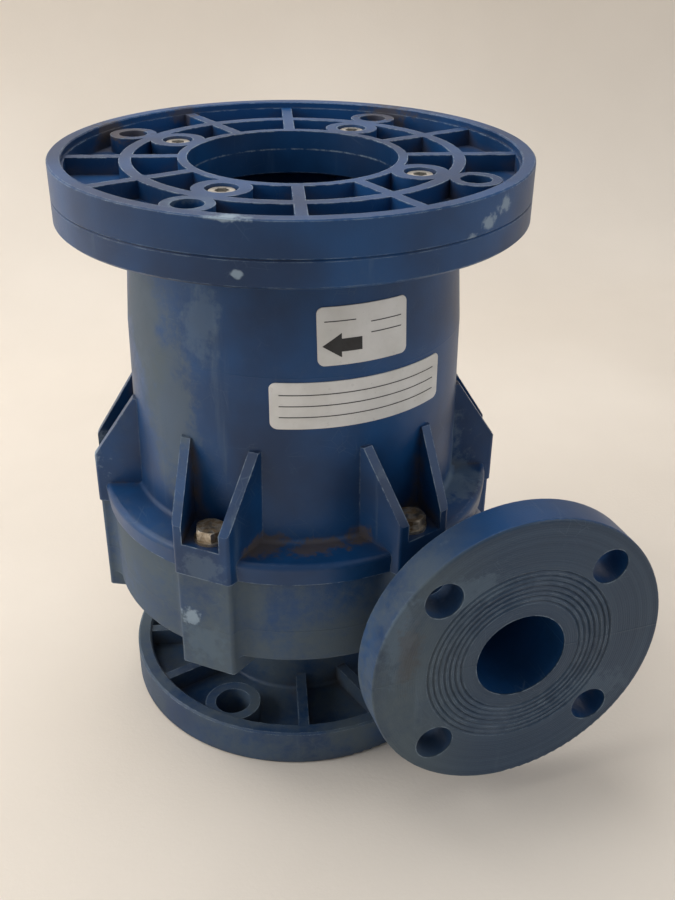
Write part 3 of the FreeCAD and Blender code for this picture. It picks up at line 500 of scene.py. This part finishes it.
stainedBolt = {
    "roughness": 0.34, "dark": (0.30, 0.24, 0.17, 1.0), "light": (0.62, 0.56, 0.47, 1.0), "toneScale": 190.0,
    "stain": 0.62, "stainScale": 210.0, "stainColour": (0.150, 0.098, 0.050, 1.0), "cornerDirtAndShade": 0.9,
    "brush": (1.0, 1.0, 0.15),
}
stainedWasher = dict(stainedBolt, light=(0.66, 0.62, 0.55, 1.0), stain=0.50, toneScale=150.0,
                     brush=(0.2, 1.0, 1.0))
brightScrew = {
    "roughness": 0.26, "dark": (0.46, 0.45, 0.43, 1.0), "light": (0.74, 0.73, 0.70, 1.0), "toneScale": 160.0,
    "stain": 0.34, "stainScale": 170.0, "stainColour": (0.200, 0.150, 0.095, 1.0), "cornerDirtAndShade": 0.7,
    "brush": (1.0, 1.0, 0.15),
}
turnedBrass = dict(brightScrew, dark=(0.42, 0.27, 0.09, 1.0), light=(0.72, 0.52, 0.22, 1.0), stain=0.3)
yokeSteel = dict(brightScrew, dark=(0.22, 0.22, 0.22, 1.0), light=(0.42, 0.42, 0.42, 1.0), roughness=0.4)
nickelPlate = dict(brightScrew, dark=(0.50, 0.49, 0.46, 1.0), light=(0.70, 0.69, 0.66, 1.0), roughness=0.18)
dress("housing_bolts", makeMetal("stainedBolt", stainedBolt))
dress("housing_washers", makeMetal("stainedWasher", stainedWasher))
dress("flange_screws", makeMetal("brightScrew", brightScrew))
brass = makeMetal("turnedBrass", turnedBrass)
dress("flange_inserts", brass)
dress("housing_inserts", brass)
dress("drive_yoke", makeMetal("yokeSteel", yokeSteel))
dress("drive_magnets", makeMetal("nickelPlate", nickelPlate))
print("metal pieces dressed")


# inner mouldings, ceramics, carbon and rubber

evenFinish = {
    "toneEdge": (0.3, 0.7), "speckEdge": (0.66, 0.74), "dirtAndShadeReach": 0.006, "swell": 60.0,
    "toneRough": 0.12, "bumpDepth": 0.0004,
}


def makeEvenFinish(name, look):
    material, tree, shader = startMaterial(name, look["roughness"])
    place = partPlace(tree)
    tone = smoothRange(tree, noiseFactor(tree, place, look["scale"], 6.0, 0.6), *evenFinish["toneEdge"])
    colour = mixColour(tree, tone, look["dark"], look["light"])
    specks = noiseFactor(tree, place, look["speckScale"], 2.0, 0.5)
    specks = smoothRange(tree, specks, *evenFinish["speckEdge"])
    colour = mixColour(tree, times(tree, specks, look["specks"]), colour, look["speckColour"])
    # sheltered crevices take the brown soil colour, which darkens the pale stickers and ceramics: dirt and
    # painted shade
    dirtAndShade = useGroup(tree, cornerDirtAndShade, Reach=evenFinish["dirtAndShadeReach"], Amount=look["cornerDirtAndShade"])["Mask"]
    colour = mixColour(tree, dirtAndShade, colour, bluePlastic["soilAndShade"])
    height = useGroup(tree, mouldGrain, Fine=look["grainScale"], Swell=evenFinish["swell"])["Height"]
    rough = plus(tree, times(tree, tone, evenFinish["toneRough"]), look["roughness"])
    tree.links.new(colour, shader.inputs["Base Color"])
    tree.links.new(rough, shader.inputs["Roughness"])
    addBump(tree, shader, height, look["bump"], evenFinish["bumpDepth"])
    return material


blackMoulding = {
    "roughness": 0.45, "scale": 30.0, "dark": (0.012, 0.013, 0.015, 1.0), "light": (0.030, 0.032, 0.036, 1.0),
    "speckScale": 900.0, "specks": 0.25, "speckColour": (0.10, 0.10, 0.10, 1.0), "cornerDirtAndShade": 0.5,
    "grainScale": 1200.0, "bump": 0.30,
}
groundCeramic = {
    "roughness": 0.22, "scale": 60.0, "dark": (0.66, 0.62, 0.52, 1.0), "light": (0.80, 0.77, 0.68, 1.0),
    "speckScale": 1500.0, "specks": 0.15, "speckColour": (0.45, 0.40, 0.30, 1.0), "cornerDirtAndShade": 0.2,
    "grainScale": 3000.0, "bump": 0.10,
}
carbonGraphite = dict(blackMoulding, light=(0.060, 0.060, 0.062, 1.0), roughness=0.36, specks=0.5, bump=0.15)
sealRubber = dict(blackMoulding, roughness=0.60, specks=0.1, bump=0.2)
dress("barrier", makeEvenFinish("blackMoulding", blackMoulding))
dress("inner_drive", makeEvenFinish("driveMoulding", dict(blackMoulding, roughness=0.5)))
ceramic = makeEvenFinish("groundCeramic", groundCeramic)
for nodeName in ("pump_shaft", "casing_thrust_ring", "impeller_thrust_ring", "rear_thrust_ring"):
    dress(nodeName, ceramic)
dress("shaft_bushing", makeEvenFinish("carbonGraphite", carbonGraphite))
dress("barrier_oring", makeEvenFinish("sealRubber", sealRubber))
print("inner pieces dressed")


# stickers: white film with a plain arrow and empty ruled lines

stickerFilm = {
    "roughness": 0.30, "scale": 40.0, "dark": (0.62, 0.61, 0.58, 1.0), "light": (0.74, 0.73, 0.71, 1.0),
    "speckScale": 420.0, "specks": 0.18, "speckColour": (0.35, 0.33, 0.30, 1.0), "cornerDirtAndShade": 0.35,
    "grainScale": 900.0, "bump": 0.06,
}
printInk = {
    "roughness": 0.42, "scale": 120.0,
    "dark": (0.010, 0.010, 0.011, 1.0), "light": (0.028, 0.028, 0.030, 1.0),
    "speckScale": 800.0, "specks": 0.10, "speckColour": (0.20, 0.20, 0.20, 1.0), "cornerDirtAndShade": 0.0,
    "grainScale": 900.0, "bump": 0.05,
}
film = makeEvenFinish("stickerFilm", stickerFilm)
dress("arrow_label", film)
dress("rating_label", film)
ink = makeEvenFinish("printInk", printInk)

# the bell's outline as (radius, height), and how far the stickers stand off it
bellShape = {"foot": (0.0856, 0.1363), "kink": (0.0843, 0.2230), "crown": (0.0806, 0.2757), "sticker": 0.0005}
printLayer = {"lift": 0.00004, "thickness": 0.00005, "step": 1.5}


def bellRadius(height):
    low, high = bellShape["foot"], bellShape["kink"]
    if height > bellShape["kink"][1]:
        low, high = bellShape["kink"], bellShape["crown"]
    share = (height - low[1]) / (high[1] - low[1])
    return low[0] + (high[0] - low[0]) * share + bellShape["sticker"]


# closed thin strip on the bell; stations are (azimuth in degrees, bottom, top) from end to end
def printedStrip(name, stations):
    mesh = bmesh.new()
    rows = []
    for azimuth, bottom, top in stations:
        angle = math.radians(azimuth)
        row = []
        for lift in (printLayer["lift"], printLayer["lift"] + printLayer["thickness"]):
            for height in (bottom, top):
                radius = bellRadius(height) + lift
                row.append(mesh.verts.new((radius * math.cos(angle), radius * math.sin(angle), height)))
        rows.append(row)
    for first, second in zip(rows, rows[1:]):
        for a, b in ((0, 1), (1, 3), (3, 2), (2, 0)):
            mesh.faces.new((first[a], first[b], second[b], second[a]))
    for row in (rows[0], rows[-1]):
        mesh.faces.new((row[0], row[1], row[3], row[2]))
    bmesh.ops.recalc_face_normals(mesh, faces=mesh.faces)
    data = bpy.data.meshes.new(name)
    mesh.to_mesh(data)
    mesh.free()
    data.materials.append(ink)
    piece = bpy.data.objects.new(name, data)
    bpy.context.scene.collection.objects.link(piece)
    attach(piece, "casing")


def spread(start, end):
    count = max(1, math.ceil(abs(end - start) / printLayer["step"]))
    return [start + (end - start) * index / count for index in range(count + 1)]


arrowPrint = {
    "tip": -98.6, "neck": -92.6, "tail": -86.0, "middle": 0.2378,
    "pointHalf": 0.00005, "headHalf": 0.0056, "shaftHalf": 0.0030,
}
middle, shaftHalf = arrowPrint["middle"], arrowPrint["shaftHalf"]
head = []
for azimuth in spread(arrowPrint["tip"], arrowPrint["neck"]):
    share = (azimuth - arrowPrint["tip"]) / (arrowPrint["neck"] - arrowPrint["tip"])
    half = arrowPrint["pointHalf"] + arrowPrint["headHalf"] * share
    head.append((azimuth, middle - half, middle + half))
shaft = [(azimuth, middle - shaftHalf, middle + shaftHalf)
         for azimuth in spread(arrowPrint["neck"], arrowPrint["tail"])]
printedStrip("arrow_head", head)
printedStrip("arrow_shaft", shaft)

ruledLines = {
    "half": 0.00022,
    "small": [(-98.0, -88.0, 0.2490), (-83.0, -72.0, 0.2470), (-83.0, -72.0, 0.2420)],
    "long": [(-112.0, -57.0, 0.2150), (-112.0, -57.0, 0.2095), (-112.0, -57.0, 0.2040)],
}
half = ruledLines["half"]
for label, slotName in (("small", "arrow_label_film"), ("long", "rating_label_film")):
    for index, (start, end, height) in enumerate(ruledLines[label]):
        stations = [(azimuth, height - half, height + half) for azimuth in spread(start, end)]
        printedStrip("rule_%s_%d" % (label, index + 1), stations)
print("stickers printed")


# floor and backdrop in one pale sweep

sweep = {
    "front": -1.6, "back": 0.45, "bend": 0.28, "top": 1.7, "half": 2.4, "steps": 16, "roughness": 0.85,
    "dark": (0.74, 0.672, 0.590, 1.0), "light": (0.80, 0.732, 0.650, 1.0), 
    "toneScale": 3.0, "toneEdge": (0.3, 0.7), "weaveScale": 420.0, "weave": 0.08, "creaseScale": 5.0,
    "bump": 0.25, "bumpDepth": 0.006,
}


def makeSweep():
    profile = [(sweep["front"], 0.0)]
    for index in range(sweep["steps"] + 1):
        angle = math.pi / 2 * index / sweep["steps"]
        back = sweep["back"] + sweep["bend"] * math.sin(angle)
        profile.append((back, sweep["bend"] * (1 - math.cos(angle))))
    profile.append((sweep["back"] + sweep["bend"], sweep["top"]))
    vertices = [(x, y, z) for y, z in profile for x in (-sweep["half"], sweep["half"])]
    faces = [(2 * i, 2 * i + 1, 2 * i + 3, 2 * i + 2) for i in range(len(profile) - 1)]
    data = bpy.data.meshes.new("sweep")
    data.from_pydata(vertices, [], faces)
    for polygon in data.polygons:
        polygon.use_smooth = True
    material, tree, shader = startMaterial("paleCloth", sweep["roughness"])
    place = partPlace(tree)
    tone = smoothRange(tree, noiseFactor(tree, place, sweep["toneScale"], 4.0, 0.5), *sweep["toneEdge"])
    tree.links.new(mixColour(tree, tone, sweep["dark"], sweep["light"]), shader.inputs["Base Color"])
    weave = noiseFactor(tree, place, sweep["weaveScale"], 3.0, 0.6)
    creases = noiseFactor(tree, place, sweep["creaseScale"], 3.0, 0.5)
    height = plus(tree, times(tree, weave, sweep["weave"]), creases)
    addBump(tree, shader, height, sweep["bump"], sweep["bumpDepth"])
    data.materials.append(material)
    piece = bpy.data.objects.new("sweep", data)
    bpy.context.scene.collection.objects.link(piece)


makeSweep()
print("floor laid")


# camera at the viewing angle, then soft lamps

view = {
    "place": (-0.14776, -0.48732, 0.42537), "azimuth": 70.558, "pitch": -29.30, "roll": 0.69,
    "lens": 42.33, "sensor": 36.0, "near": 0.01,
}


def makeCamera():
    azimuth, pitch, roll = (math.radians(view[key]) for key in ("azimuth", "pitch", "roll"))
    level = math.cos(pitch)
    ahead = Vector((level * math.cos(azimuth), level * math.sin(azimuth), math.sin(pitch)))
    right = ahead.cross(Vector((0, 0, 1))).normalized()
    up = right.cross(ahead)
    across = right * math.cos(roll) + up * math.sin(roll)
    above = up * math.cos(roll) - right * math.sin(roll)
    data = bpy.data.cameras.new("view")
    data.lens = view["lens"]
    data.sensor_width = view["sensor"]
    data.clip_start = view["near"]
    camera = bpy.data.objects.new("view", data)
    turn = Matrix((across, above, -ahead)).transposed().to_4x4()
    camera.matrix_world = Matrix.Translation(view["place"]) @ turn
    bpy.context.scene.collection.objects.link(camera)
    bpy.context.scene.camera = camera


makeCamera()

lamps = [
    {"name": "overhead", "place": (-0.20, 0.45, 1.40), "aim": (0.0, 0.0, 0.15), "size": 1.2, "power": 16.0,
     "colour": (1.0, 0.985, 0.96)},
    {"name": "left", "place": (-1.30, 0.10, 0.80), "aim": (0.0, 0.0, 0.16), "size": 0.8, "power": 9.0,
     "colour": (1.0, 0.98, 0.95)},
    {"name": "right", "place": (1.10, -0.90, 0.80), "aim": (0.03, 0.0, 0.12), "size": 0.9, "power": 3.5,
     "colour": (0.97, 0.985, 1.0)},
]
for lamp in lamps:
    data = bpy.data.lights.new(lamp["name"], "AREA")
    data.size = lamp["size"]
    data.energy = lamp["power"]
    data.color = lamp["colour"]
    light = bpy.data.objects.new(lamp["name"], data)
    light.location = lamp["place"]
    direction = Vector(lamp["aim"]) - Vector(lamp["place"])
    light.rotation_euler = direction.to_track_quat("-Z", "Y").to_euler()
    bpy.context.scene.collection.objects.link(light)

surround = {"colour": (0.92, 0.93, 0.95, 1.0), "strength": 0.40}
world = bpy.data.worlds.new("surround")
world.use_nodes = True
background = world.node_tree.nodes["Background"]
background.inputs["Color"].default_value = surround["colour"]
background.inputs["Strength"].default_value = surround["strength"]
bpy.context.scene.world = world
bpy.context.scene.view_settings.view_transform = "Standard"
print("camera and lamps set")
